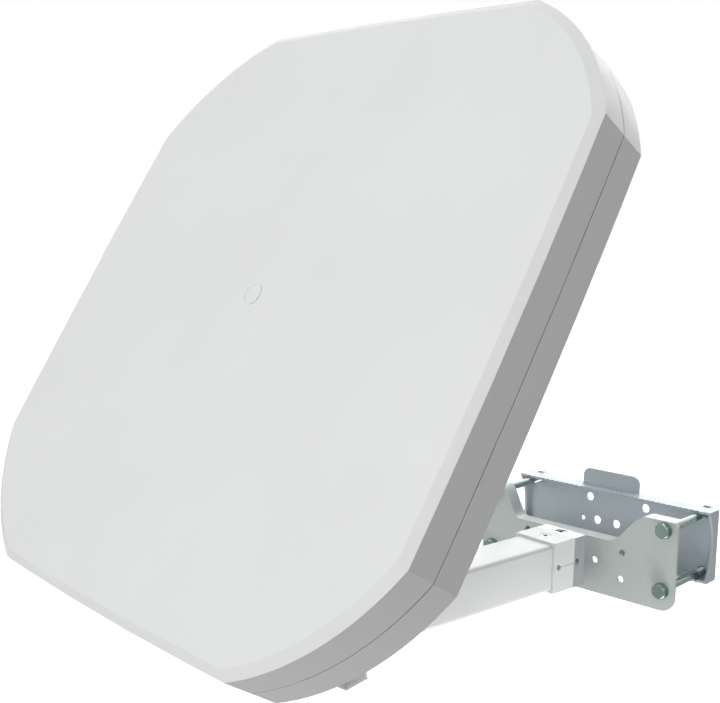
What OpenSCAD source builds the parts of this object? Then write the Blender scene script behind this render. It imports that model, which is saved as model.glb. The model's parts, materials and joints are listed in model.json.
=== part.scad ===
// Flat-panel satellite antenna on a square arm, with a swivel joint and a toothed mast clamp.
// Frame: origin on the mast's axis at the clamp's mid height, +Z up, the antenna looks towards -Y.

/* [Antenna head] */
// Distance between opposite sides, measured at the ends of the sides
side = 500; // [460:10:520]
// Depth of the front shell behind its outer edge
front_depth = 23.8; // [22:0.1:26]
// Depth of the rear shell
rear_depth = 22.3; // [21:0.1:24]
// Wall thickness of both shells
shell_wall = 2.5; // [2:0.1:2.8]
// How far the flat face is set in from the outer edge
chamfer_in = 6.5; // [4:0.5:8]
// How far the flat face stands in front of the outer edge
chamfer_out = 3.5; // [2:0.5:4]
// Height of the dark joint between the shells
seam_gap = 1.2; // [0.8:0.1:1.6]

/* [Pose at rest] */
// Elevation of the antenna's axis above the horizon
elevation = 31.5; // [12:0.5:58]
// Turn of the arm on the clamp
azimuth = 6; // [0:0.5:20]

/* [Arm] */
// Distance from the swivel's axis to the elevation bolt
arm_reach = 361; // [340:1:390]
// Width of the square tube
tube_w = 43.5; // [42:0.5:44]
// Height of the tube
tube_h = 45.5; // [44:0.5:46]
// Wall of the tube
tube_wall = 2.5; // [2:0.1:3]
// Distance from the antenna's rear face to the elevation bolt
ear_reach = 110; // [100:1:120]

/* [Mast clamp] */
// Gap for the mast, as the clamp is set at rest
mast_gap = 48; // [46:1:49]
// Spacing of the clamp bolts across
bolt_span_x = 197; // [192:1:200]
// Spacing of the clamp bolts up
bolt_span_z = 59; // [56:1:60]
// Width of the front bracket
bracket_w = 224; // [222:1:230]
// Width of the rear jaw
jaw_w = 224; // [222:1:230]
// Sheet thickness of both clamp parts
sheet = 2.5; // [2:0.1:3]

/* [Hidden] */

$fn = 64;
eps = 0.01;
play = 0.05;               // radial play of a pin in its bore

// Colours
white_shell = [0.89, 0.9, 0.9];
white_paint = [0.92, 0.92, 0.91];
zinc = [0.7, 0.74, 0.75];
bolt_zinc = [0.62, 0.68, 0.64];
rubber_black = [0.12, 0.12, 0.13];
foam_grey = [0.86, 0.87, 0.84];
copper = [0.76, 0.5, 0.33];
alloy = [0.72, 0.73, 0.75];
brass = [0.78, 0.64, 0.32];
board_green = [0.12, 0.36, 0.22];

// Antenna outline
half = side / 2;
side_end = 0.6 * half;      // where a side meets its corner arc
side_bow = 0.0095 * half;   // how far a side bows out
corner_bow = 0.0522 * half; // how far a corner arc rises over its chord
side_steps = 8;
corner_steps = 16;

// Stations along the head's depth, from the rear face at 0 towards the front
seam_y = -rear_depth;
edge_y = -(rear_depth + front_depth);
face_y = edge_y - chamfer_out;
gasket_in = 1.1;
gasket_w = 1.3;

// Shell screws
screw_d = 3.6;
screw_head_d = 7.2;
screw_head_h = 2.4;
screw_sunk = 0.4;           // how far a screw's head lies below the rear face
screw_socket_af = 3;
boss_d = 9.5;
boss_in = 14;
screw_spots = [
    for (turn = [0:90:270])
        for (along = [-0.5, 0, 0.5])
            turned([half - boss_in, along * half], turn)
];

// Layers inside the head, front to back
foam_front_t = 5.5;
plate_t = 1.5;
film_t = 0.5;
foam_feed_t = 2;
ground_t = 2;
layer_gap = 0.3;
layer_half = half - 24;
foam_front_y = face_y + shell_wall + layer_gap;
plate_y = foam_front_y + foam_front_t + layer_gap;
film_y = plate_y + plate_t + layer_gap;
foam_feed_y = film_y + film_t + layer_gap;
ground_y = foam_feed_y + foam_feed_t + layer_gap;
slot_pitch = 40;
slot_side = 18;
slots_each_way = 5;

// Low-noise block and the round waveguide that feeds it
guide_bore = 19;
guide_outer = 26;
lnb_w = 96;
lnb_h = 74;
lnb_z = 110;
lnb_front_y = ground_y + ground_t + 6;
lnb_back_y = -shell_wall - layer_gap;
lnb_wall = 2;
lnb_lid_t = 1.5;
lnb_corner = 5;
board_t = 1.6;
board_lift = 4;             // height of the board over the case's floor
f_thread_r = 4.75;
f_out = 12;
f_hole_d = 15;              // hole in the rear shell for a connector and its seal
f_x = 16;
f_z = lnb_z - 8;

// Elevation joint
ear_t = 4;
ear_gap = 1.5;
ear_inner = tube_w / 2 + ear_gap;
ear_outer = ear_inner + ear_t;
m8 = 8;
m8_af = 13;
m8_head_h = 5.3;
m8_nut_h = 6.5;
m6 = 6;
m6_af = 10;
m6_head_h = 4;
m6_washer_d = 14;
m6_washer_t = 1.6;
lock_r = 45;
elevation_low = 10;
elevation_high = 60;
head_drop = 224.5;          // how far the elevation bolt sits below the head's centre
ear_nose = 18;
slot_rim = 11;

// Swivel joint, measured from the swivel's axis
bracket_reach = 24;         // from the axis to the front of the bracket's plate
flange_depth = 17;
swivel_y = -mast_gap / 2 - flange_depth - bracket_reach;
block_w = 48;
block_top = 11;
block_bottom = -39;
arm_z = (block_top + block_bottom) / 2;
block_front = -39.5;
block_rear = -8;
fork_rear = 8;
tube_rear = -16;
spigot_front = -36;
spigot_low = arm_z - 14;
spigot_high = arm_z + 19.9;
spigot_w = tube_w - 2 * tube_wall - 0.7;
tongue_r = 13;
tongue_w = 16;
tongue_low = arm_z - 7;
tongue_high = arm_z + 7;
foot_w = 22;
foot_t = 3;
foot_low = -33;
foot_high = 5;
screw_y = -24;
side_holes = [[-31.5, 6], [-3.8, 6.5]];  // (place along the arm, diameter) of each
fit_gap = 0.3;
pocket_d = 11.2;
pocket_depth = 3.4;
bolt_floor = 1.5;           // metal left under the swivel bolt
m8_socket_af = 5.8;
m6_socket_af = 5;

// Clamp stations
plate_front = swivel_y + bracket_reach;
plate_rear = plate_front + 3;
flange_rear = -mast_gap / 2;
jaw_front = mast_gap / 2;
jaw_depth = 22.5;
jaw_rear = jaw_front + jaw_depth;
ear_top = 37;
dip_z = 5;
bracket_bottom = -51;
bracket_corner = 14;
bolt_z = -1.5;
bolt_length = 100;
m8_hole_d = 9;
tooth_pitch = 6;
tooth_depth = 2.5;
jaw_bottom = -38;
jaw_top = 34.5;
tab_x = -9;
tab_w = 66;
tab_h = 16.5;

function turned(p, a) = [p[0] * cos(a) - p[1] * sin(a), p[0] * sin(a) + p[1] * cos(a)];

// Points from p to q on an arc that rises by bow on the side away from the origin
function arc_points(p, q, bow, steps) =
    let (
        chord = norm(q - p),
        radius = (chord * chord / 4 + bow * bow) / (2 * bow),
        spread = asin(chord / 2 / radius),
        along = (q - p) / chord,
        out = [along[1], -along[0]],
        centre = (p + q) / 2 - out * (radius - bow)
    )
    [for (i = [0:steps - 1])
        let (a = -spread + 2 * spread * i / steps)
        centre + radius * (out * cos(a) + along * sin(a))];

function quarter_outline() = concat(
    arc_points([half, -side_end], [half, side_end], side_bow, side_steps),
    arc_points([half, side_end], [side_end, half], corner_bow, corner_steps)
);

function head_points(inset) = [
    for (turn = [0:90:270])
        for (p = quarter_outline())
            turned(p, turn) * (half - inset) / half
];

module head_outline(inset = 0) {
    polygon(head_points(inset));
}

// A flat shape in X and Z, made solid from y0 to y1
module slab(y0, y1) {
    translate([0, y1, 0])
        rotate([90, 0, 0])
            linear_extrude(y1 - y0)
                children();
}

// A round bar along Y
module bar_y(d, y0, y1, x = 0, z = 0) {
    translate([x, y0, z])
        rotate([-90, 0, 0])
            cylinder(d = d, h = y1 - y0);
}

// A round bar along X
module bar_x(d, x0, x1, y = 0, z = 0) {
    translate([x0, y, z])
        rotate([0, 90, 0])
            cylinder(d = d, h = x1 - x0);
}

// A round bar along Z
module bar_z(d, z0, z1, y = 0) {
    translate([0, y, z0])
        cylinder(d = d, h = z1 - z0);
}

// A hexagon prism along Y
module hex_y(af, y0, y1, x = 0, z = 0) {
    translate([x, y0, z])
        rotate([-90, 0, 0])
            cylinder(d = af / cos(30), h = y1 - y0, $fn = 6);
}

// A hexagon prism along X
module hex_x(af, x0, x1, y = 0, z = 0) {
    translate([x0, y, z])
        rotate([0, 90, 0])
            cylinder(d = af / cos(30), h = x1 - x0, $fn = 6);
}

module box(lo, hi) {
    translate(lo)
        cube(hi - lo);
}

module rounded_rect(w, h, r) {
    square([w - 2 * r, h], center = true);
    square([w, h - 2 * r], center = true);
    for (x = [-1, 1])
        for (y = [-1, 1])
            translate([x * (w / 2 - r), y * (h / 2 - r)])
                circle(r);
}

// Places children measured from the swivel's axis, with the arm towards -Y
module on_arm() {
    translate([0, swivel_y, 0])
        rotate([0, 0, -azimuth])
            children();
}

// Places children measured from the elevation bolt, with X across, Y to the rear and Z up the face
module on_head() {
    on_arm()
        translate([0, -arm_reach, arm_z])
            rotate([-elevation, 0, 0])
                children();
}

// Places children measured from the centre of the head's rear face
module on_face() {
    on_head()
        translate([0, -ear_reach, head_drop])
            children();
}

// ---- Antenna head ----

module front_radome() {
    color(white_shell)
        on_face()
            difference() {
                union() {
                    difference() {
                        hull() {
                            slab(edge_y, seam_y - seam_gap / 2)
                                head_outline();
                            slab(face_y, edge_y)
                                head_outline(chamfer_in);
                        }
                        slab(face_y + shell_wall, 0)
                            head_outline(chamfer_in + shell_wall);
                        slab(edge_y + shell_wall, 0)
                            head_outline(shell_wall);
                    }
                    for (p = screw_spots)
                        bar_y(boss_d, face_y + shell_wall - eps, seam_y - seam_gap / 2, p[0], p[1]);
                }
                for (p = screw_spots)
                    bar_y(screw_d + 2 * play, seam_y - 14, 0, p[0], p[1]);
            }
}

module blank_badge() {
    badge_r = 9;
    badge_t = 0.6;
    rim_w = 1;
    color(white_shell)
        on_face()
            difference() {
                bar_y(2 * badge_r, face_y - badge_t, face_y, 0, 0);
                bar_y(2 * (badge_r - rim_w), face_y - badge_t - eps, face_y - badge_t / 2, 0, 0);
            }
}

module shell_gasket() {
    color(rubber_black)
        on_face()
            slab(seam_y - seam_gap / 2, seam_y + seam_gap / 2)
                difference() {
                    head_outline(gasket_in);
                    head_outline(gasket_in + gasket_w);
                }
}

bracket_bolt_spots = [
    for (x = [-46, 46])
        for (z = [-198, -92])
            [x, z]
];
insert_d = 9;
insert_boss_d = 16;
insert_depth = 13;
drain_x = -110;
drain_z = -half + 18;
drain_d = 6;

module rear_shell() {
    color(white_shell)
        on_face()
            difference() {
                union() {
                    difference() {
                        slab(seam_y + seam_gap / 2, 0)
                            head_outline();
                        slab(seam_y - 1, -shell_wall)
                            head_outline(shell_wall);
                    }
                    for (p = screw_spots)
                        bar_y(boss_d, seam_y + seam_gap / 2, -shell_wall + eps, p[0], p[1]);
                    for (p = bracket_bolt_spots)
                        bar_y(insert_boss_d, -shell_wall - insert_depth, -shell_wall + eps, p[0], p[1]);
                }
                for (p = screw_spots) {
                    bar_y(screw_d + 2 * play, seam_y - 1, 1, p[0], p[1]);
                    bar_y(screw_head_d + 0.6, -screw_head_h - screw_sunk, 1, p[0], p[1]);
                }
                for (p = bracket_bolt_spots)
                    bar_y(insert_d, -shell_wall - insert_depth - 1, 1, p[0], p[1]);
                for (x = [-f_x, f_x])
                    bar_y(f_hole_d, -shell_wall - 1, 1, x, f_z);
                bar_y(drain_d, -shell_wall - 1, 1, drain_x, drain_z);
            }
}

module front_foam() {
    color(foam_grey)
        on_face()
            slab(foam_front_y, foam_front_y + foam_front_t)
                head_outline(half - layer_half);
}

module radiating_plate() {
    color(alloy)
        on_face()
            slab(plate_y, plate_y + plate_t)
                difference() {
                    head_outline(half - layer_half);
                    for (i = [-slots_each_way + 0.5:slots_each_way - 0.5])
                        for (j = [-slots_each_way + 0.5:slots_each_way - 0.5])
                            if (abs(i) + abs(j) < 2 * slots_each_way - 2)
                                translate([i, j] * slot_pitch)
                                    square([slot_side, slot_side], center = true);
                }
}

module feed_film() {
    color(copper)
        on_face()
            slab(film_y, film_y + film_t)
                head_outline(half - layer_half + 2);
}

module feed_foam() {
    color(foam_grey)
        on_face()
            slab(foam_feed_y, foam_feed_y + foam_feed_t)
                head_outline(half - layer_half + 2);
}

module ground_plate() {
    color(alloy)
        on_face()
            slab(ground_y, ground_y + ground_t)
                difference() {
                    head_outline(half - layer_half);
                    translate([0, lnb_z])
                        circle(d = guide_bore);
                }
}

module waveguide_port() {
    color(alloy)
        on_face()
            difference() {
                bar_y(guide_outer, ground_y + ground_t, lnb_front_y, 0, lnb_z);
                bar_y(guide_bore, ground_y + ground_t - 1, lnb_front_y + 1, 0, lnb_z);
            }
}

module lnb_case() {
    color(alloy)
        on_face()
            difference() {
                slab(lnb_front_y, lnb_back_y - lnb_lid_t)
                    translate([0, lnb_z])
                        rounded_rect(lnb_w, lnb_h, lnb_corner);
                slab(lnb_front_y + lnb_wall, 0)
                    translate([0, lnb_z])
                        rounded_rect(lnb_w - 2 * lnb_wall, lnb_h - 2 * lnb_wall, lnb_corner - lnb_wall);
                bar_y(guide_bore, lnb_front_y - 1, 0, 0, lnb_z);
            }
}

module lnb_lid() {
    color(alloy)
        on_face()
            difference() {
                slab(lnb_back_y - lnb_lid_t, lnb_back_y)
                    translate([0, lnb_z])
                        rounded_rect(lnb_w, lnb_h, lnb_corner);
                for (x = [-f_x, f_x])
                    bar_y(2 * (f_thread_r + play) + 0.1, lnb_back_y - 5, 0, x, f_z);
            }
}

module lnb_board() {
    color(board_green)
        on_face()
            translate([0, lnb_front_y + lnb_wall + board_lift, lnb_z])
                slab(0, board_t)
                    square([lnb_w - 3 * lnb_wall, lnb_h - 3 * lnb_wall], center = true);
}

module f_connectors() {
    hex_af = 11;
    hex_top = 1.2;
    socket_d = 6.4;
    socket_depth = 7;
    color(alloy)
        on_face()
            for (x = [-f_x, f_x])
                difference() {
                    union() {
                        hex_y(hex_af, lnb_back_y, hex_top, x, f_z);
                        bar_y(2 * f_thread_r, lnb_back_y - 4, f_out, x, f_z);
                    }
                    bar_y(socket_d, f_out - socket_depth, f_out + 1, x, f_z);
                }
}

module connector_seals() {
    seal_w = 0.9;
    seal_d = f_hole_d - 0.2;
    color(rubber_black)
        on_face()
            for (x = [-f_x, f_x])
                difference() {
                    bar_y(seal_d, -shell_wall, -0.5, x, f_z);
                    bar_y(seal_d - 2 * seal_w, -shell_wall - 1, 1, x, f_z);
                }
}

module drain_plug() {
    rim_w = 2.5;
    rim_h = 2;
    color(rubber_black)
        on_face() {
            bar_y(drain_d, -shell_wall, 0, drain_x, drain_z);
            bar_y(drain_d + 2 * rim_w, 0, rim_h, drain_x, drain_z);
        }
}

// The cable outlet on the rear face, near the lower corner arc: a hood that is open to one side
module cable_outlet() {
    hood_in = 248;
    hood_out = 292.5;
    hood_left = -25.5;
    hood_right = -8;
    hood_depth = 12;
    hood_wall = 2;
    hollow_in = 270;
    color(white_shell)
        on_face()
            rotate([0, 45, 0])
                difference() {
                    box([hood_in, 0, hood_left], [hood_out, hood_depth, hood_right]);
                    box(
                        [hollow_in, -1, hood_left + hood_wall],
                        [hood_out + 1, hood_depth - hood_wall, hood_right + 1]
                    );
                }
}

module shell_screws() {
    color(bolt_zinc)
        on_face()
            for (p = screw_spots) {
                bar_y(screw_d, seam_y - 12, -screw_head_h, p[0], p[1]);
                difference() {
                    bar_y(screw_head_d, -screw_head_h - screw_sunk, -screw_sunk, p[0], p[1]);
                    hex_y(screw_socket_af, -screw_head_h / 2 - screw_sunk, 0, p[0], p[1]);
                }
            }
}

module bracket_inserts() {
    color(brass)
        on_face()
            for (p = bracket_bolt_spots)
                difference() {
                    bar_y(insert_d, -insert_depth - shell_wall + 1, 0, p[0], p[1]);
                    bar_y(m6, -insert_depth - shell_wall, 1, p[0], p[1]);
                }
}

base_t = 3;
base_w = 120;
base_corner = 8;
base_low = -half + 12;
base_high = -66;
ear_base_h = 118;

// Side view of one ear, measured from the elevation bolt; its base goes 1 mm into the plate
module ear_profile() {
    difference() {
        hull() {
            translate([-ear_reach + base_t - 1, base_low + head_drop])
                square([2, ear_base_h]);
            circle(ear_nose);
            for (a = [elevation_low - 6, elevation_high + 6])
                translate(lock_r * [cos(a), sin(a)])
                    circle(slot_rim);
        }
        circle(d = m8 + 2 * play);
        lock_slot();
    }
}

// Arc slot in which the lock bolt runs: two arcs about the elevation bolt, joined by round ends
module lock_slot() {
    slot_r = m8 / 2 + 0.4;
    low = elevation_low - 1;
    high = elevation_high + 1;
    steps = 12;
    low_end = turned([lock_r, 0], low);
    high_end = turned([lock_r, 0], high);
    polygon(concat(
        [for (i = [0:steps]) turned([lock_r + slot_r, 0], low + (high - low) * i / steps)],
        [for (i = [1:steps - 1]) high_end + turned([slot_r, 0], high + 180 * i / steps)],
        [for (i = [steps:-1:0]) turned([lock_r - slot_r, 0], low + (high - low) * i / steps)],
        [for (i = [1:steps - 1]) low_end + turned([slot_r, 0], low + 180 + 180 * i / steps)]
    ));
}

module back_bracket() {
    color(white_paint) {
        on_face()
            difference() {
                slab(0, base_t)
                    translate([0, (base_low + base_high) / 2])
                        rounded_rect(base_w, base_high - base_low, base_corner);
                for (p = bracket_bolt_spots)
                    bar_y(m6 + 0.6, -1, base_t + 1, p[0], p[1]);
            }
        on_head()
            for (x = [-ear_outer, ear_inner])
                translate([x, 0, 0])
                    rotate([90, 0, 90])
                        linear_extrude(ear_t)
                            ear_profile();
    }
}

module bracket_bolts() {
    color(bolt_zinc)
        on_face()
            for (p = bracket_bolt_spots) {
                bar_y(m6, 1 - insert_depth, base_t + m6_washer_t, p[0], p[1]);
                hex_y(m6_af, base_t + m6_washer_t, base_t + m6_washer_t + m6_head_h, p[0], p[1]);
            }
}

module bracket_washers() {
    color(bolt_zinc)
        on_face()
            for (p = bracket_bolt_spots)
                difference() {
                    bar_y(m6_washer_d, base_t, base_t + m6_washer_t, p[0], p[1]);
                    bar_y(m6, base_t - 1, base_t + m6_washer_t + 1, p[0], p[1]);
                }
}

// ---- Arm ----

tube_corner = 4;
tube_front = -arm_reach - 26;
elevation_spots = [-arm_reach, -arm_reach + lock_r];

module tube_hollow(inset = 0) {
    shrink = 2 * (tube_wall + inset);
    rounded_rect(tube_w - shrink, tube_h - shrink, tube_corner - tube_wall - inset / 2);
}

module arm_tube() {
    color(white_paint)
        on_arm()
            difference() {
                translate([0, 0, arm_z])
                    slab(tube_front, tube_rear)
                        difference() {
                            rounded_rect(tube_w, tube_h, tube_corner);
                            tube_hollow();
                        }
                for (y = elevation_spots)
                    bar_x(m8 + 2 * play, -tube_w, tube_w, y, arm_z);
                bar_z(m6 + 2 * play, block_bottom, block_top, screw_y);
                bar_x(side_holes[0][1], 0, tube_w, side_holes[0][0], arm_z);
            }
}

module arm_end_cap() {
    cap_t = 3;
    plug = 12;
    plug_wall = 2;
    color(white_paint)
        on_arm()
            translate([0, 0, arm_z]) {
                slab(tube_front - cap_t, tube_front)
                    rounded_rect(tube_w, tube_h, tube_corner);
                slab(tube_front, tube_front + plug)
                    difference() {
                        tube_hollow();
                        tube_hollow(plug_wall);
                    }
            }
}

// Spacers inside the tube that keep the bolts from crushing it
module elevation_sleeves() {
    sleeve_d = 14;
    color(bolt_zinc)
        on_arm()
            for (y = elevation_spots)
                difference() {
                    bar_x(sleeve_d, -tube_w / 2 + tube_wall, tube_w / 2 - tube_wall, y, arm_z);
                    bar_x(m8 + 2 * play, -tube_w, tube_w, y, arm_z);
                }
}

washer_t = 1.2;
m8_washer_d = 17;

// One cross bolt through the tube and both ears, with its head on the +X side
module cross_bolt(y) {
    past_nut = 3;
    on_arm() {
        bar_x(m8, -ear_outer - washer_t - m8_nut_h - past_nut, ear_outer + washer_t, y, arm_z);
        hex_x(m8_af, ear_outer + washer_t, ear_outer + washer_t + m8_head_h, y, arm_z);
    }
}

module cross_nut(y) {
    on_arm()
        difference() {
            hex_x(m8_af, -ear_outer - washer_t - m8_nut_h, -ear_outer - washer_t, y, arm_z);
            bar_x(m8, -ear_outer * 2, 0, y, arm_z);
        }
}

module elevation_bolt() {
    color(bolt_zinc)
        cross_bolt(-arm_reach);
}

module elevation_nut() {
    color(bolt_zinc)
        cross_nut(-arm_reach);
}

module lock_bolt() {
    color(bolt_zinc)
        cross_bolt(-arm_reach + lock_r);
}

module lock_nut() {
    color(bolt_zinc)
        cross_nut(-arm_reach + lock_r);
}

module elevation_washers() {
    color(bolt_zinc)
        on_arm()
            for (y = elevation_spots)
                for (x = [-ear_outer - washer_t, -ear_inner + 0.1, tube_w / 2, ear_outer])
                    let (t = abs(x) > ear_inner ? washer_t : ear_gap - 0.1)
                        difference() {
                            bar_x(m8_washer_d, x, x + t, y, arm_z);
                            bar_x(m8, x - 1, x + t + 1, y, arm_z);
                        }
}

// ---- Swivel joint ----

// The white block round the tube's end, before it is split at mid height
module joint_block() {
    hole_x = spigot_w / 2 + fit_gap;
    difference() {
        box([-block_w / 2, block_front, block_bottom], [block_w / 2, block_rear, block_top]);
        translate([0, 0, arm_z])
            slab(block_front - 1, tube_rear + fit_gap)
                rounded_rect(tube_w + 0.2, tube_h + 0.2, tube_corner);
        box([-hole_x, tube_rear, spigot_low - 0.1], [hole_x, block_rear + 1, spigot_high + 0.1]);
        bar_z(pocket_d, block_top - 4, block_top + 1, screw_y);
        bar_z(m6 + 2 * play, block_bottom - 1, block_top + 1, screw_y);
        bar_x(side_holes[0][1], 0, block_w, side_holes[0][0], arm_z);
    }
}

module joint_upper() {
    color(white_paint)
        on_arm()
            difference() {
                joint_block();
                box([-block_w, -2 * block_w, block_bottom - 1], [block_w, block_w, arm_z + fit_gap / 2]);
            }
}

module joint_lower() {
    color(white_paint)
        on_arm()
            difference() {
                joint_block();
                box([-block_w, -2 * block_w, arm_z - fit_gap / 2], [block_w, block_w, block_top + 1]);
            }
}

// Cast fork whose spigot sits in the tube's end; the lug's tongue turns between its cheeks
module joint_fork() {
    cheek_x = block_w / 2;
    spigot_x = spigot_w / 2;
    mouth = tongue_r + 4;
    slot_low = tongue_low - fit_gap;
    slot_high = tongue_high + fit_gap;
    color(alloy)
        on_arm()
            difference() {
                union() {
                    box([-cheek_x, block_rear + 0.2, block_bottom], [cheek_x, fork_rear, block_top]);
                    box([-spigot_x, spigot_front, spigot_low], [spigot_x, block_rear + 1, spigot_high]);
                }
                bar_z(2 * tongue_r + 1, slot_low, slot_high);
                translate([0, 0, slot_low])
                    linear_extrude(slot_high - slot_low)
                        polygon([
                            [-tongue_r, 0], [tongue_r, 0], [mouth, fork_rear + 1], [-mouth, fork_rear + 1]
                        ]);
                bar_z(pocket_d, block_top - pocket_depth, block_top + 1);
                bar_z(m8 + 2 * play, block_bottom + bolt_floor, block_top + 1);
                bar_z(m6 + 2 * play, spigot_low - 1, spigot_high + 1, screw_y);
                bar_x(side_holes[0][1], 0, block_w, side_holes[0][0], arm_z);
                bar_x(side_holes[1][1], cheek_x - 5, block_w, side_holes[1][0], arm_z);
            }
}

tube_top = arm_z + tube_h / 2;
tube_bottom = arm_z - tube_h / 2;
joint_nut_h = 5;

module joint_screw() {
    color(bolt_zinc)
        on_arm()
            difference() {
                union() {
                    bar_z(m6, block_bottom, tube_top, screw_y);
                    bar_z(m6_af, tube_top, block_top - 0.3, screw_y);
                }
                translate([0, screw_y, block_top - 2])
                    cylinder(d = m6_socket_af, h = 3, $fn = 6);
            }
}

module joint_nut() {
    color(bolt_zinc)
        on_arm()
            difference() {
                translate([0, screw_y, tube_bottom + tube_wall])
                    cylinder(d = m6_af / cos(30), h = joint_nut_h, $fn = 6);
                bar_z(m6, tube_bottom, 0, screw_y);
            }
}

module swivel_bolt() {
    head_low = block_top - pocket_depth;
    color(bolt_zinc)
        on_arm()
            difference() {
                union() {
                    bar_z(m8, block_bottom + bolt_floor, head_low);
                    bar_z(pocket_d - 0.6, head_low, head_low + 2.6);
                }
                translate([0, 0, head_low + 0.8])
                    cylinder(d = m8_socket_af, h = 3, $fn = 6);
            }
}

// ---- Mast clamp ----

lug_screw_spots = [-25, -3];

module swivel_lug() {
    tongue_x = tongue_w / 2;
    foot_x = foot_w / 2;
    foot_front = bracket_reach - foot_t;
    color(zinc)
        translate([0, swivel_y, 0])
            difference() {
                union() {
                    bar_z(2 * tongue_r, tongue_low, tongue_high);
                    box([-tongue_x, 0, tongue_low], [tongue_x, foot_front + 1, tongue_high]);
                    box([-foot_x, foot_front, foot_low], [foot_x, bracket_reach, foot_high]);
                }
                bar_z(m8 + 2 * play, block_bottom, block_top);
                for (z = lug_screw_spots)
                    bar_y(m6, foot_front - 1, bracket_reach + 1, 0, z);
            }
}

module lug_screws() {
    color(bolt_zinc)
        for (z = lug_screw_spots) {
            bar_y(m6, plate_front - foot_t, plate_rear, 0, z);
            hex_y(m6_af, plate_rear, plate_rear + m6_head_h, 0, z);
        }
}

clamp_bolt_spots = [
    for (x = [-1, 1])
        for (z = [-1, 1])
            [x * bolt_span_x / 2, bolt_z + z * bolt_span_z / 2]
];
plate_hole_d = 7;
plate_hole_spots = [
    for (x = [-1, 1])
        for (p = [[55, -4], [25, -18], [54.5, -31]])
            [x * p[0], p[1]]
];

// Points of an S-shaped edge that rises from the dip at x0 to the ear's top at x1
function ear_edge(x0, x1, steps = 12) = [
    for (i = [0:steps])
        [x0 + (x1 - x0) * i / steps, dip_z + (ear_top - dip_z) * (1 - cos(180 * i / steps)) / 2]
];

right_ear = ear_edge(38, 80);
left_ear = ear_edge(-66, -90);

// Front view of the bracket, with its raised ears and the dip between them, cut back at top and bottom
module bracket_profile(cut = 0) {
    end_x = bracket_w / 2;
    tip = 3;
    corner_x = end_x - bracket_corner;
    corner_z = bracket_bottom + bracket_corner;
    corner_r = bracket_corner - cut;
    polygon(concat(
        [[end_x, corner_z], [end_x, ear_top - tip - cut], [end_x - tip, ear_top - cut]],
        [for (i = [len(right_ear) - 1:-1:0]) right_ear[i] - [0, cut]],
        [for (p = left_ear) p - [0, cut]],
        [[tip - end_x, ear_top - cut], [-end_x, ear_top - tip - cut], [-end_x, corner_z]],
        [for (a = [195:15:270]) [-corner_x, corner_z] + turned([corner_r, 0], a)],
        [for (a = [270:15:345]) [corner_x, corner_z] + turned([corner_r, 0], a)]
    ));
}

module front_bracket() {
    flange_end = bracket_w / 2 - 2;
    bottom_end = flange_end - bracket_corner;
    color(zinc)
        difference() {
            union() {
                slab(plate_front, plate_rear)
                    bracket_profile();
                slab(plate_rear - eps, flange_rear)
                    intersection() {
                        difference() {
                            bracket_profile();
                            bracket_profile(sheet);
                        }
                        union() {
                            translate([-flange_end, dip_z - 2 * sheet])
                                square([2 * flange_end, ear_top]);
                            translate([-bottom_end, bracket_bottom])
                                square([2 * bottom_end, 2 * sheet]);
                        }
                    }
            }
            for (p = clamp_bolt_spots)
                bar_y(m8_hole_d, plate_front - 1, plate_rear + 1, p[0], p[1]);
            for (p = plate_hole_spots)
                bar_y(plate_hole_d, plate_front - 1, plate_rear + 1, p[0], p[1]);
            for (z = lug_screw_spots)
                bar_y(m6 + 0.4, plate_front - 1, plate_rear + 1, 0, z);
        }
}

clamp_washer_d = 16;
clamp_washer_t = 1.6;

module clamp_bolts() {
    head_rear = plate_front - clamp_washer_t;
    color(bolt_zinc)
        for (p = clamp_bolt_spots) {
            bar_y(m8, head_rear, head_rear + bolt_length, p[0], p[1]);
            hex_y(m8_af, head_rear - m8_head_h, head_rear, p[0], p[1]);
        }
}

module bolt_washers() {
    color(bolt_zinc)
        for (p = clamp_bolt_spots)
            difference() {
                bar_y(clamp_washer_d, plate_front - clamp_washer_t, plate_front, p[0], p[1]);
                bar_y(m8, plate_front - 2 * clamp_washer_t, plate_front + 1, p[0], p[1]);
            }
}

// Top view of a jaw flange, with teeth along its front edge
module toothed_flange() {
    teeth = floor((jaw_w - 2 * sheet) / tooth_pitch) - 1;
    start = -teeth * tooth_pitch / 2;
    polygon(concat(
        [[-jaw_w / 2, jaw_rear], [-jaw_w / 2, jaw_front + tooth_depth]],
        [for (i = [0:teeth - 1]) for (p = [[0, tooth_depth], [tooth_pitch / 2, 0]])
            [start + i * tooth_pitch + p[0], jaw_front + p[1]]],
        [[-start, jaw_front + tooth_depth], [jaw_w / 2, jaw_front + tooth_depth], [jaw_w / 2, jaw_rear]]
    ));
}

jaw_hole_spots = [[-33, 20], [33, 20], [-23, -4], [0, -4]];
jaw_small_hole_d = 5;
jaw_small_hole = [-40.5, -5];

// End wall of the jaw, seen from the side, with its hollowed front edge
module jaw_end() {
    hollow_r = 60;
    hollow_in = 11;
    mid = (jaw_top + jaw_bottom) / 2;
    difference() {
        translate([jaw_front + tooth_depth, jaw_bottom])
            square([jaw_depth - tooth_depth, jaw_top - jaw_bottom]);
        translate([jaw_front + tooth_depth + hollow_in - hollow_r, mid])
            circle(hollow_r);
    }
}

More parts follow.
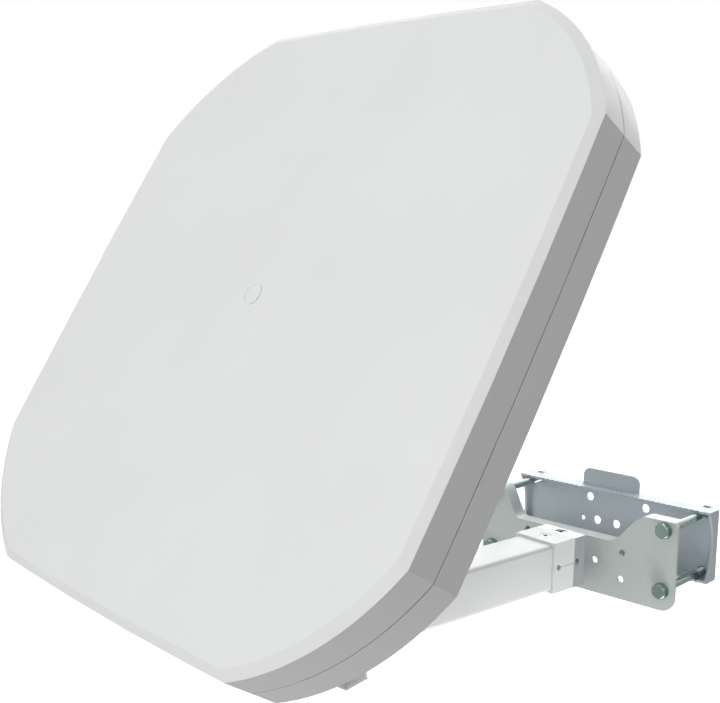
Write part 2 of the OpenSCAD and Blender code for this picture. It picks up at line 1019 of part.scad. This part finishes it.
module rear_jaw() {
    tab_corner = 8;
    wall_front = jaw_rear - sheet;
    color(zinc)
        difference() {
            union() {
                box([-jaw_w / 2, wall_front, jaw_bottom], [jaw_w / 2, jaw_rear, jaw_top]);
                for (z = [jaw_bottom, jaw_top - sheet])
                    translate([0, 0, z])
                        linear_extrude(sheet)
                            toothed_flange();
                for (x = [-jaw_w / 2, jaw_w / 2 - sheet])
                    translate([x, 0, 0])
                        rotate([90, 0, 90])
                            linear_extrude(sheet)
                                jaw_end();
                slab(wall_front, jaw_rear)
                    translate([tab_x, jaw_top + tab_h / 2 - tab_corner])
                        rounded_rect(tab_w, tab_h + 2 * tab_corner, tab_corner);
            }
            for (p = concat(clamp_bolt_spots, jaw_hole_spots))
                bar_y(m8_hole_d, wall_front - 1, jaw_rear + 1, p[0], p[1]);
            bar_y(jaw_small_hole_d, wall_front - 1, jaw_rear + 1, jaw_small_hole[0], jaw_small_hole[1]);
        }
}

module jaw_washers() {
    color(bolt_zinc)
        for (p = clamp_bolt_spots)
            difference() {
                bar_y(clamp_washer_d, jaw_rear, jaw_rear + clamp_washer_t, p[0], p[1]);
                bar_y(m8 + 2 * play, jaw_rear - 1, jaw_rear + 2 * clamp_washer_t, p[0], p[1]);
            }
}

module jaw_nuts() {
    nut_front = jaw_rear + clamp_washer_t;
    color(bolt_zinc)
        for (p = clamp_bolt_spots)
            difference() {
                hex_y(m8_af, nut_front, nut_front + m8_nut_h, p[0], p[1]);
                bar_y(m8 + 2 * play, nut_front - 1, nut_front + m8_nut_h + 1, p[0], p[1]);
            }
}

front_radome();
blank_badge();
shell_gasket();
rear_shell();
front_foam();
radiating_plate();
feed_film();
feed_foam();
ground_plate();
waveguide_port();
lnb_case();
lnb_lid();
lnb_board();
f_connectors();
connector_seals();
drain_plug();
cable_outlet();
shell_screws();
bracket_inserts();
back_bracket();
bracket_bolts();
bracket_washers();
arm_tube();
arm_end_cap();
elevation_sleeves();
elevation_bolt();
elevation_nut();
lock_bolt();
lock_nut();
elevation_washers();
joint_upper();
joint_lower();
joint_fork();
joint_screw();
joint_nut();
swivel_bolt();
swivel_lug();
lug_screws();
front_bracket();
clamp_bolts();
bolt_washers();
rear_jaw();
jaw_washers();
jaw_nuts();
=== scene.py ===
"""A flat-panel satellite antenna on its arm and mast clamp, in a white studio."""

import json
import math

import bmesh
import bpy
from mathutils import Matrix, Vector


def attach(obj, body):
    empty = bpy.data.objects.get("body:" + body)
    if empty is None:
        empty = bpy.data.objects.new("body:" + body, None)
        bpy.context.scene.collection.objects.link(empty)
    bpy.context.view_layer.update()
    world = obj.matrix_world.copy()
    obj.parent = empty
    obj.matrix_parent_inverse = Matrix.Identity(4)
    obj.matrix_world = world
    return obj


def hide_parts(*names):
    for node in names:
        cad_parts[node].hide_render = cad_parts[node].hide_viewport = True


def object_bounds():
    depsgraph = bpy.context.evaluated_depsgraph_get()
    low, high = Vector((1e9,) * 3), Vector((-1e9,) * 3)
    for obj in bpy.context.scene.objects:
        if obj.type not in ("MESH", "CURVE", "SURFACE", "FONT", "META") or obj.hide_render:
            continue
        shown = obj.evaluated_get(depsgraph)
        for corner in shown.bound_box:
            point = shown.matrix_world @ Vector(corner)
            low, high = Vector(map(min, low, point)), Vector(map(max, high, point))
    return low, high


MM = 0.001

# Camera, in the frame's metres and degrees
CAMERA_PLACE = Vector((0.5775, -0.9992, 0.3290))
CAMERA_HEADING = 42.64
CAMERA_PITCH = -7.38
CAMERA_ROLL = 1.23
CAMERA_LENS = 55.9
CAMERA_SHIFT = (0.0064, -0.0044)

# Fasteners, in millimetres
M8_RADIUS = 4.0
M8_PITCH = 1.25
M8_ACROSS_FLATS = 13.0
M8_HEAD_HEIGHT = 5.3
M8_NUT_HEIGHT = 6.5
M8_THREAD_LENGTH = 28
F_PITCH = 0.794
THREAD_DEPTH = 0.54  # as a share of the pitch
HEXAGON_FACE = 0.95  # flat end face of a turned-down hexagon, as a share of its width
HEXAGON_CONE = math.radians(30)

REAR = Vector((0, 1, 0))

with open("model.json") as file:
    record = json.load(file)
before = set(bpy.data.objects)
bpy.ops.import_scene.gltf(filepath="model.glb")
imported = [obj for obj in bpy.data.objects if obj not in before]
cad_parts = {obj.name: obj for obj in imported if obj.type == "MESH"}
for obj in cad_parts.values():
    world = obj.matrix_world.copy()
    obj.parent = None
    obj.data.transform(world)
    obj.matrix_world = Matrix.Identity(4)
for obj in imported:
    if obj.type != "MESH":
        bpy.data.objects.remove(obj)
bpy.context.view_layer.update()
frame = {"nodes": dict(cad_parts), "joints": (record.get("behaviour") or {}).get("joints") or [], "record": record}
nodes = frame["nodes"]


# ---- Materials ----


class Finish:
    """A Principled material and short ways to add procedural detail to it."""

    def __init__(self, name, colour, roughness, metallic=0.0):
        self.material = bpy.data.materials.new(name)
        self.material.use_nodes = True
        self.tree = self.material.node_tree
        self.shader = self.tree.nodes["Principled BSDF"]
        self.colour = colour
        self.roughness = roughness
        self.shader.inputs["Base Color"].default_value = (*colour, 1)
        self.shader.inputs["Roughness"].default_value = roughness
        self.shader.inputs["Metallic"].default_value = metallic
        self.place = self.tree.nodes.new("ShaderNodeTexCoord").outputs["Object"]
        self.normal = None

    def add(self, kind, **settings):
        node = self.tree.nodes.new(kind)
        for name, value in settings.items():
            setattr(node, name, value)
        return node

    def stretched(self, scale):
        """Object coordinates, scaled by a number for each axis."""
        mapping = self.add("ShaderNodeMapping")
        mapping.inputs["Scale"].default_value = scale
        self.tree.links.new(self.place, mapping.inputs["Vector"])
        return mapping.outputs["Vector"]

    def noise(self, scale, detail=3.0, stretch=None):
        node = self.add("ShaderNodeTexNoise")
        node.inputs["Scale"].default_value = scale
        node.inputs["Detail"].default_value = detail
        source = self.place if stretch is None else self.stretched(stretch)
        self.tree.links.new(source, node.inputs["Vector"])
        return node.outputs["Fac"]

    def cells(self, scale, feature="F1", output="Distance"):
        node = self.add("ShaderNodeTexVoronoi", feature=feature)
        node.inputs["Scale"].default_value = scale
        self.tree.links.new(self.place, node.inputs["Vector"])
        return node.outputs[output]

    def ramp(self, source, low, high, start=0.35, end=0.65):
        """A colour or grey ramp from low to high over the source's middle range."""
        node = self.add("ShaderNodeValToRGB")
        node.color_ramp.elements[0].position = start
        node.color_ramp.elements[1].position = end
        node.color_ramp.elements[0].color = (*low, 1)
        node.color_ramp.elements[1].color = (*high, 1)
        self.tree.links.new(source, node.inputs["Fac"])
        return node.outputs["Color"]

    def tint(self, source, change, start=0.35, end=0.65):
        """Colour that varies by the given share, darker to lighter."""
        low = [c * (1 - change) for c in self.colour]
        high = [min(1.0, c * (1 + change)) for c in self.colour]
        out = self.ramp(source, low, high, start, end)
        self.tree.links.new(out, self.shader.inputs["Base Color"])

    def sheen_spread(self, source, change):
        """Roughness that varies by the given amount."""
        low = [self.roughness - change] * 3
        high = [self.roughness + change] * 3
        out = self.ramp(source, low, high)
        self.tree.links.new(out, self.shader.inputs["Roughness"])

    def bump(self, source, height, strength=1.0):
        """Relief of that height in metres, added over any earlier relief."""
        node = self.add("ShaderNodeBump")
        node.inputs["Distance"].default_value = height
        node.inputs["Strength"].default_value = strength
        self.tree.links.new(source, node.inputs["Height"])
        if self.normal is not None:
            self.tree.links.new(self.normal, node.inputs["Normal"])
        self.normal = node.outputs["Normal"]
        self.tree.links.new(self.normal, self.shader.inputs["Normal"])


def moulded_plastic(name, colour, roughness, grain):
    """Spark-eroded mould grain over a faintly uneven white."""
    finish = Finish(name, colour, roughness)
    finish.tint(finish.noise(9, 2), 0.012)
    finish.sheen_spread(finish.noise(60, 4), 0.05)
    finish.bump(finish.noise(grain, 3), 0.00012, 0.35)
    finish.bump(finish.cells(grain * 1.6), 0.00005, 0.3)
    return finish.material


def powder_coat(name, colour):
    """Satin powder coat with a fine orange-peel surface."""
    finish = Finish(name, colour, 0.34)
    finish.tint(finish.noise(14, 2), 0.015)
    finish.sheen_spread(finish.noise(120, 3), 0.05)
    finish.bump(finish.noise(650, 2), 0.00010, 0.3)
    finish.bump(finish.noise(2600, 2), 0.00003, 0.3)
    finish.shader.inputs["Coat Weight"].default_value = 0.12
    finish.shader.inputs["Coat Roughness"].default_value = 0.25
    return finish.material


def zinc_plate(name, colour, roughness, metallic, flake):
    """Zinc plate: faint crystal patches, an uneven sheen and fine rolling marks."""
    finish = Finish(name, colour, roughness, metallic)
    finish.tint(finish.cells(flake, output="Color"), 0.014, 0.1, 0.9)
    finish.sheen_spread(finish.noise(70, 5), 0.04)
    finish.bump(finish.noise(900, 3, (1, 1, 6)), 0.00002, 0.3)
    return finish.material


def moulded_rubber(name):
    finish = Finish(name, (0.035, 0.035, 0.038), 0.75)
    finish.tint(finish.noise(300, 4), 0.2)
    finish.sheen_spread(finish.noise(200, 3), 0.08)
    finish.bump(finish.noise(1800, 3), 0.00008, 0.4)
    return finish.material


def closed_foam(name):
    finish = Finish(name, (0.84, 0.84, 0.80), 0.85)
    finish.tint(finish.noise(30, 3), 0.04)
    finish.bump(finish.cells(700), 0.0004, 0.6)
    return finish.material


def satin_alloy(name):
    finish = Finish(name, (0.72, 0.73, 0.75), 0.36, 1.0)
    finish.tint(finish.noise(25, 3), 0.03)
    finish.sheen_spread(finish.noise(90, 5, (1, 12, 1)), 0.08)
    finish.bump(finish.noise(700, 3, (1, 10, 1)), 0.00003, 0.35)
    return finish.material


def printed_film(name):
    """Copper feed lines on an amber film."""
    finish = Finish(name, (0.6, 0.34, 0.16), 0.4)
    lines = finish.add("ShaderNodeTexBrick")
    lines.inputs["Scale"].default_value = 25
    lines.inputs["Mortar Size"].default_value = 0.06
    finish.tree.links.new(finish.place, lines.inputs["Vector"])
    tone = finish.ramp(lines.outputs["Fac"], (0.42, 0.2, 0.06), (0.72, 0.4, 0.24), 0.4, 0.6)
    finish.tree.links.new(tone, finish.shader.inputs["Base Color"])
    finish.bump(lines.outputs["Fac"], 0.00005, 0.5)
    return finish.material


def circuit_board(name):
    """Green solder mask with paler tracks and a fine weave."""
    finish = Finish(name, (0.03, 0.2, 0.09), 0.32)
    tracks = finish.cells(160, "DISTANCE_TO_EDGE")
    tone = finish.ramp(tracks, (0.1, 0.34, 0.16), (0.02, 0.17, 0.07), 0.03, 0.08)
    finish.tree.links.new(tone, finish.shader.inputs["Base Color"])
    finish.bump(tracks, 0.00004, 0.5)
    finish.bump(finish.noise(2500, 2), 0.00002, 0.3)
    return finish.material


def turned_metal(name, colour, roughness):
    """Turned and plated metal with fine tool marks."""
    finish = Finish(name, colour, roughness, 1.0)
    finish.tint(finish.noise(180, 3), 0.05)
    finish.sheen_spread(finish.noise(240, 4), 0.06)
    finish.bump(finish.noise(3500, 2), 0.00002, 0.3)
    return finish.material


MATERIALS = {
    "white_shell": moulded_plastic("moulded_shell", (0.795, 0.81, 0.80), 0.42, 1400),
    "white_plastic": moulded_plastic("moulded_cap", (0.83, 0.83, 0.82), 0.38, 1800),
    "white_paint": powder_coat("powder_coat", (0.83, 0.84, 0.84)),
    "zinc_sheet": zinc_plate("zinc_sheet_metal", (0.60, 0.65, 0.635), 0.40, 0.4, 420),
    "zinc_bolt": zinc_plate("zinc_fasteners", (0.36, 0.46, 0.42), 0.24, 1.0, 900),
    "nickel": turned_metal("nickel_plate", (0.70, 0.67, 0.61), 0.22),
    "brass": turned_metal("turned_brass", (0.75, 0.58, 0.27), 0.3),
    "rubber": moulded_rubber("moulded_rubber"),
    "foam": closed_foam("closed_cell_foam"),
    "alloy": satin_alloy("satin_alloy"),
    "feed_film": printed_film("printed_film"),
    "board": circuit_board("circuit_board"),
}

# Nodes with painted shade: a darker, bluer zinc than the rest of their slot, for the jaw's wall that sits in the
# shadow of the panel and bracket
NODE_PAINTED_SHADE = {
    # painted shade on the jaw, darker and bluer than the plate's zinc
    "rear_jaw": zinc_plate("jaw_zinc_painted_shade", (0.53, 0.59, 0.63), 0.40, 0.4, 420),
}


def paint(obj, slot, finish=None):
    """Puts a finish, or else the slot's own material, on the whole object and names the slot."""
    obj.data.materials.clear()
    obj.data.materials.append(finish or MATERIALS[slot])
    for polygon in obj.data.polygons:
        polygon.material_index = 0


# ---- Surfaces of the CAD nodes ----

# Radius of the soft edges on the moulded and cast nodes, in millimetres
EDGE_RADIUS = {
    "front_radome": 1.0,
    "rear_shell": 0.7,
    "arm_end_cap": 0.8,
    "joint_upper": 0.5,
    "joint_lower": 0.5,
    "joint_fork": 0.5,
    "cable_outlet": 0.4,
}
# Edges shallower than this are shaded smooth and stay unbevelled
SMOOTH_BELOW = math.radians(15)


def smooth_surface_group():
    """A modifier group that joins split corners and shades smoothly over shallow edges only."""
    group = bpy.data.node_groups.new("smooth_surface", "GeometryNodeTree")
    group.interface.new_socket("Geometry", in_out="INPUT", socket_type="NodeSocketGeometry")
    group.interface.new_socket("Geometry", in_out="OUTPUT", socket_type="NodeSocketGeometry")
    start = group.nodes.new("NodeGroupInput")
    end = group.nodes.new("NodeGroupOutput")
    weld = group.nodes.new("GeometryNodeMergeByDistance")
    weld.inputs["Distance"].default_value = 0.005 * MM
    faces = group.nodes.new("GeometryNodeSetShadeSmooth")
    edges = group.nodes.new("GeometryNodeSetShadeSmooth")
    edges.domain = "EDGE"
    edges.inputs["Shade Smooth"].default_value = False
    angle = group.nodes.new("GeometryNodeInputMeshEdgeAngle")
    sharp = group.nodes.new("FunctionNodeCompare")
    sharp.operation = "GREATER_THAN"
    sharp.inputs["B"].default_value = SMOOTH_BELOW
    group.links.new(start.outputs["Geometry"], weld.inputs["Geometry"])
    group.links.new(weld.outputs["Geometry"], faces.inputs["Geometry"])
    group.links.new(faces.outputs["Geometry"], edges.inputs["Geometry"])
    group.links.new(angle.outputs["Unsigned Angle"], sharp.inputs["A"])
    group.links.new(sharp.outputs["Result"], edges.inputs["Selection"])
    group.links.new(edges.outputs["Geometry"], end.inputs["Geometry"])
    return group


SMOOTH = smooth_surface_group()


def soften(obj, radius_mm=None):
    """Smooth shading over shallow edges, and rounded sharp ones if a radius is given."""
    if "custom_normal" in obj.data.attributes:
        obj.data.attributes.remove(obj.data.attributes["custom_normal"])
    surface = obj.modifiers.new("smooth_surface", "NODES")
    surface.node_group = SMOOTH
    if radius_mm:
        flat = obj.modifiers.new("one_face_per_plane", "DECIMATE")
        flat.decimate_type = "DISSOLVE"
        flat.angle_limit = math.radians(0.5)
        bevel = obj.modifiers.new("soft_edges", "BEVEL")
        bevel.width = radius_mm * MM
        bevel.segments = 3
        bevel.limit_method = "ANGLE"
        bevel.angle_limit = SMOOTH_BELOW
        bevel.harden_normals = True


# ---- Bolts, nuts and connectors ----


def new_piece(name, mesh_data, slot, body):
    """A new visible piece that rides on a CAD body."""
    mesh = bpy.data.meshes.new(name)
    mesh_data.to_mesh(mesh)
    mesh_data.free()
    piece = bpy.data.objects.new(name, mesh)
    bpy.context.scene.collection.objects.link(piece)
    paint(piece, slot)
    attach(piece, body)
    return piece


def skin(mesh, loops):
    """Joins each loop of vertices to the next with quads."""
    count = len(loops[0])
    for lower, upper in zip(loops, loops[1:]):
        for i in range(count):
            j = (i + 1) % count
            mesh.faces.new((lower[i], lower[j], upper[j], upper[i]))


def add_rings(mesh, rings):
    """Skins a list of rings of points, all with the same count, and caps both ends."""
    loops = [[mesh.verts.new(p) for p in ring] for ring in rings]
    skin(mesh, loops)
    mesh.faces.new(list(reversed(loops[0])))
    mesh.faces.new(loops[-1])


def circle_ring(radius, height, count):
    return [
        Vector((radius * math.cos(a), radius * math.sin(a), height))
        for a in (2 * math.pi * i / count for i in range(count))
    ]


def thread_rings(radius, pitch, start, end, sides=24, per_pitch=4):
    """Rings of a threaded rod whose radius follows the helix, with a shallower groove at its ends."""
    depth = THREAD_DEPTH * pitch
    steps = max(4, round((end - start) / pitch * per_pitch))
    rings = []
    for k in range(steps + 1):
        height = start + (end - start) * k / steps
        runout = max(0.0, min(1.0, (height - start) / pitch, (end - height) / pitch))
        ring = []
        for i in range(sides):
            angle = 2 * math.pi * i / sides
            phase = (height / pitch - i / sides) % 1.0
            groove = depth * (1 - abs(2 * phase - 1)) * runout
            cut = radius - depth * 0.5 * (1 - runout) - groove
            ring.append(Vector((cut * math.cos(angle), cut * math.sin(angle), height)))
        rings.append(ring)
    return rings


def add_hexagon(mesh, across_flats, start, end, bore=None, both_ends=False):
    """A hexagon with its corners turned down to a cone at the far end, or at both ends.

    With a bore it is a nut, open right through.
    """
    sides = 48
    corner = across_flats / 2 / math.cos(math.pi / 6)

    def ring(height, limit):
        points = []
        for i in range(sides):
            angle = 2 * math.pi * i / sides
            across = (angle + math.pi / 6) % (math.pi / 3) - math.pi / 6
            flat = across_flats / 2 / math.cos(across)
            radius = min(flat, limit)
            points.append(Vector((radius * math.cos(angle), radius * math.sin(angle), height)))
        return points

    face = across_flats / 2 * HEXAGON_FACE
    drop = (corner - face) * math.tan(HEXAGON_CONE)
    levels = [(start, corner)] if not both_ends else [(start, face), (start + drop, corner)]
    for share in (1.0, 0.75, 0.5, 0.25, 0.0):
        levels.append((end - drop * share, face + (corner - face) * share))
    rings = [ring(height, limit) for height, limit in levels]
    if bore is None:
        add_rings(mesh, rings)
        return
    rings += [circle_ring(bore, height, sides) for height in (end, start)]
    loops = [[mesh.verts.new(p) for p in ring_points] for ring_points in rings]
    skin(mesh, loops + [loops[0]])


def placed(mesh, centre, axis):
    """Turns a mesh drawn along +Z in millimetres to lie along axis from centre, in metres."""
    rotation = Vector((0, 0, 1)).rotation_difference(axis).to_matrix().to_4x4()
    matrix = Matrix.Translation(centre) @ rotation @ Matrix.Scale(MM, 4)
    bmesh.ops.transform(mesh, matrix=matrix, verts=mesh.verts)


def islands(node):
    """(lowest, highest) corner of each separate solid in a node."""
    mesh = bmesh.new()
    mesh.from_mesh(nodes[node].data)
    bmesh.ops.remove_doubles(mesh, verts=mesh.verts, dist=0.001 * MM)
    left = set(mesh.verts)
    boxes = []
    while left:
        grown = [left.pop()]
        found = []
        while grown:
            vert = grown.pop()
            found.append(vert.co.copy())
            for edge in vert.link_edges:
                other = edge.other_vert(vert)
                if other in left:
                    left.remove(other)
                    grown.append(other)
        low = Vector([min(p[i] for p in found) for i in range(3)])
        high = Vector([max(p[i] for p in found) for i in range(3)])
        boxes.append((low, high))
    mesh.free()
    return sorted(boxes, key=lambda b: tuple(round(x, 4) for x in b[0]))


def clamp_bolt_pieces():
    """The four long hexagon bolts, each with a chamfered head, a plain shank and a threaded end."""
    for number, (low, high) in enumerate(islands("clamp_bolts"), 1):
        length = (high.y - low.y) / MM
        thread_start = length - M8_THREAD_LENGTH
        mesh = bmesh.new()
        add_hexagon(mesh, M8_ACROSS_FLATS, -M8_HEAD_HEIGHT, 0)
        bmesh.ops.rotate(mesh, verts=mesh.verts, matrix=Matrix.Rotation(math.pi, 3, "X"))
        add_rings(mesh, [circle_ring(M8_RADIUS, z, 32) for z in (M8_HEAD_HEIGHT, thread_start)])
        add_rings(mesh, thread_rings(M8_RADIUS, M8_PITCH, thread_start, length))
        placed(mesh, Vector(((low.x + high.x) / 2, low.y, (low.z + high.z) / 2)), REAR)
        yield new_piece(f"clamp_bolt_{number}", mesh, "zinc_bolt", "clamp")


def nut_pieces(node, body, axis):
    """Chamfered M8 nuts in place of the plain hexagons of a node."""
    play = 0.05
    for number, (low, high) in enumerate(islands(node), 1):
        mesh = bmesh.new()
        add_hexagon(mesh, M8_ACROSS_FLATS, 0, M8_NUT_HEIGHT, bore=M8_RADIUS + play, both_ends=True)
        placed(mesh, (low + high) / 2 - axis * M8_NUT_HEIGHT * MM / 2, axis)
        yield new_piece(f"{node}_{number}", mesh, "zinc_bolt", body)


def connector_pieces(body):
    """The two F connectors: a hexagon, a fine thread and a recessed socket."""
    across_flats = 11.0
    hexagon_height = 4.0
    buried = 4.0
    socket_radius = 3.2
    socket_depth = 7.0
    for number, mount in enumerate(mounts_called("f_connector"), 1):
        radius = mount["dims"]["r_mm"]
        end = mount["dims"]["length_mm"] / 2
        mesh = bmesh.new()
        add_hexagon(mesh, across_flats, -end - hexagon_height, -end)
        add_rings(mesh, [circle_ring(radius, z, 24) for z in (-end - hexagon_height - buried, -end)])
        rings = thread_rings(radius, F_PITCH, -end, end)
        rings += [circle_ring(socket_radius, z, 24) for z in (end, end - socket_depth)]
        add_rings(mesh, rings)
        placed(mesh, Vector(mount["pos_m"]), Vector(mount["axis"]))
        yield new_piece(f"f_connector_{number}", mesh, "nickel", body)


# ---- Put together ----


def joint_axis(name):
    return Vector(next(j["axis"] for j in frame["joints"] if j["name"] == name)).normalized()


def mounts_called(start):
    return [m for m in frame["record"]["mounts"] if m["name"].startswith(start)]


slots = {part["node"]: part["material_slot"] for part in frame["record"]["subparts"]}
for name, node in nodes.items():
    paint(node, slots[name], NODE_PAINTED_SHADE.get(name))
    soften(node, EDGE_RADIUS.get(name))

arm_across = joint_axis("head_elevation")
detailed = {
    "clamp_bolts": clamp_bolt_pieces(),
    "jaw_nuts": nut_pieces("jaw_nuts", "jaw", REAR),
    "elevation_nut": nut_pieces("elevation_nut", "arm", arm_across),
    "lock_nut": nut_pieces("lock_nut", "arm", arm_across),
    "f_connectors": connector_pieces("head"),
}
for name, pieces in detailed.items():
    for piece in pieces:
        soften(piece)
        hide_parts(name)


# ---- Studio ----


def make_camera():
    data = bpy.data.cameras.new("camera")
    data.lens = CAMERA_LENS
    data.shift_x, data.shift_y = CAMERA_SHIFT
    camera = bpy.data.objects.new("camera", data)
    heading = Matrix.Rotation(math.radians(CAMERA_HEADING), 4, "Z")
    pitch = Matrix.Rotation(math.radians(90 + CAMERA_PITCH), 4, "X")
    roll = Matrix.Rotation(math.radians(CAMERA_ROLL), 4, "Z")
    camera.matrix_world = Matrix.Translation(CAMERA_PLACE) @ heading @ pitch @ roll
    bpy.context.scene.collection.objects.link(camera)
    bpy.context.scene.camera = camera


def camera_sees(tree, seen, lit):
    """Mixes a shader that the camera sees with one that lights the object."""
    path = tree.nodes.new("ShaderNodeLightPath")
    mix = tree.nodes.new("ShaderNodeMixShader")
    tree.links.new(path.outputs["Is Camera Ray"], mix.inputs["Fac"])
    tree.links.new(lit, mix.inputs[1])
    tree.links.new(seen, mix.inputs[2])
    return mix.outputs["Shader"]


# Lobes of soft light: (direction it comes from, strength, how narrow)
SKY_LOBES = [
    (Vector((-0.2, -0.9, 0.4)), 2.35, 3.0),
    (Vector((-0.4, 0.9, 0.15)), 2.4, 3.0),
    (Vector((0.1, 0.6, 0.8)), 0.2, 2.0),
]
SKY_BASE = 0.03  # even light from all round


def make_world():
    """White to the camera, and soft lobes of light for the object, which leave its right side dim."""
    world = bpy.data.worlds.new("studio")
    bpy.context.scene.world = world
    world.use_nodes = True
    tree = world.node_tree
    tree.nodes.clear()
    place = tree.nodes.new("ShaderNodeTexCoord").outputs["Generated"]
    total = tree.nodes.new("ShaderNodeValue").outputs[0]
    total.default_value = SKY_BASE
    for direction, strength, power in SKY_LOBES:
        dot = tree.nodes.new("ShaderNodeVectorMath")
        dot.operation = "DOT_PRODUCT"
        dot.inputs[1].default_value = direction.normalized()
        tree.links.new(place, dot.inputs[0])
        facing = tree.nodes.new("ShaderNodeMath")
        facing.operation = "MAXIMUM"
        facing.inputs[1].default_value = 0.0
        tree.links.new(dot.outputs["Value"], facing.inputs[0])
        narrow = tree.nodes.new("ShaderNodeMath")
        narrow.operation = "POWER"
        narrow.inputs[1].default_value = power
        tree.links.new(facing.outputs[0], narrow.inputs[0])
        scaled = tree.nodes.new("ShaderNodeMath")
        scaled.operation = "MULTIPLY_ADD"
        scaled.inputs[1].default_value = strength
        tree.links.new(narrow.outputs[0], scaled.inputs[0])
        tree.links.new(total, scaled.inputs[2])
        total = scaled.outputs[0]
    light = tree.nodes.new("ShaderNodeBackground")
    light.inputs["Color"].default_value = (1, 1, 1, 1)
    tree.links.new(total, light.inputs["Strength"])
    backdrop = tree.nodes.new("ShaderNodeBackground")
    backdrop.inputs["Color"].default_value = (1, 1, 1, 1)
    backdrop.inputs["Strength"].default_value = 1.0
    out = tree.nodes.new("ShaderNodeOutputWorld")
    shader = camera_sees(tree, backdrop.outputs[0], light.outputs[0])
    tree.links.new(shader, out.inputs["Surface"])


# The floor's brightness, as the camera sees it and as it throws light back on the object
FLOOR_SEEN = 0.9
FLOOR_LIT = 0.5
FLOOR_GLOW = 0.55


def make_floor():
    """A wide pale floor some way below the object, as under a mast."""
    drop = 0.35
    radius = 14.0
    low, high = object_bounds()
    centre = (low + high) / 2
    mesh = bmesh.new()
    bmesh.ops.create_circle(mesh, cap_ends=True, segments=96, radius=radius)
    data = bpy.data.meshes.new("floor")
    mesh.to_mesh(data)
    mesh.free()
    floor = bpy.data.objects.new("floor", data)
    floor.location = (centre.x, centre.y, low.z - drop)
    bpy.context.scene.collection.objects.link(floor)
    material = bpy.data.materials.new("floor")
    material.use_nodes = True
    tree = material.node_tree
    matt = tree.nodes["Principled BSDF"]
    matt.inputs["Base Color"].default_value = (FLOOR_SEEN, FLOOR_SEEN, FLOOR_SEEN, 1)
    matt.inputs["Roughness"].default_value = 0.9
    dimmer = tree.nodes.new("ShaderNodeBsdfDiffuse")
    dimmer.inputs["Color"].default_value = (FLOOR_LIT, FLOOR_LIT, FLOOR_LIT, 1)
    glow = tree.nodes.new("ShaderNodeEmission")
    glow.inputs["Color"].default_value = (1, 1, 1, 1)
    glow.inputs["Strength"].default_value = FLOOR_GLOW
    add = tree.nodes.new("ShaderNodeAddShader")
    tree.links.new(matt.outputs[0], add.inputs[0])
    tree.links.new(glow.outputs[0], add.inputs[1])
    shader = camera_sees(tree, add.outputs[0], dimmer.outputs[0])
    tree.links.new(shader, tree.nodes["Material Output"].inputs["Surface"])
    data.materials.append(material)


def area_light(name, place, target, size, power):
    """A square lamp that the camera doesn't see; places in metres, power in watts."""
    data = bpy.data.lights.new(name, "AREA")
    data.shape = "SQUARE"
    data.size = size
    data.energy = power
    light = bpy.data.objects.new(name, data)
    light.location = place
    direction = Vector(target) - Vector(place)
    light.rotation_euler = direction.to_track_quat("-Z", "Y").to_euler()
    light.visible_camera = False
    bpy.context.scene.collection.objects.link(light)


make_camera()
make_world()
make_floor()
area_light("top_rear_key", (0.2, 1.3, 2.2), (0, -0.2, 0.0), 1.2, 17)
area_light("arm_fill", (0.17, -0.14, -0.28), (0.02, -0.25, -0.014), 0.18, 0.85)
bpy.context.scene.view_settings.view_transform = "Standard"
